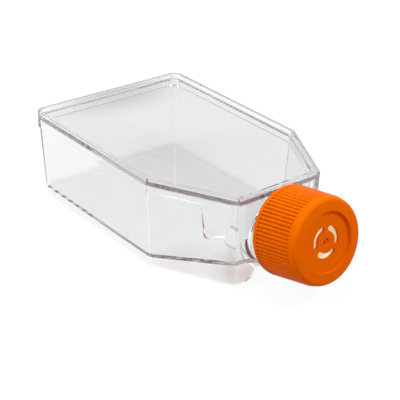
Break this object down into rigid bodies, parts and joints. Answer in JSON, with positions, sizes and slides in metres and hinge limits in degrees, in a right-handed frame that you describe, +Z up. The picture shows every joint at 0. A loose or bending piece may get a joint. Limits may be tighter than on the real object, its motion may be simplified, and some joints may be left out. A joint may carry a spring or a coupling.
{
  "type": "cell culture flask",
  "caption": "Small clear culture flask with a flat growth chamber, tapered shoulders, a canted threaded neck and a ribbed vented screw cap.",
  "frame": {"origin": "on the ground under the middle of the whole length, on the flask's centre line", "axes": "+Z up, +Y towards the flask's back wall, the neck and its cap point towards -Y and a little up"},
  "size_m": [0.0532, 0.099, 0.0297],
  "materials": {
    "clear_polystyrene": "clear, polished",
    "orange_plastic": "satin, moulded",
    "filter_membrane": "matt, pale cream"
  },
  "bodies": {
    "flask": {"flask_body": "clear_polystyrene", "top_plate": "clear_polystyrene"},
    "vent": {"vent_membrane": "filter_membrane"},
    "screw_cap": {"cap": "orange_plastic"}
  },
  "joints": [
    {"name": "cap_lift", "type": "slide", "parent": "flask", "child": "vent", "axis": [0, -0.9792, 0.2028], "range_m": [0, 0.0151]},
    {"name": "cap_turn", "type": "hinge", "parent": "vent", "child": "screw_cap", "pos_m": [0, -0.02899, 0.0145], "axis": [0, -0.9792, 0.2028], "range_deg": [0, 1350]}
  ],
  "couplings": [
    {"joint": "cap_lift", "follows": "cap_turn", "m_per_rad": 0.00063662}
  ]
}
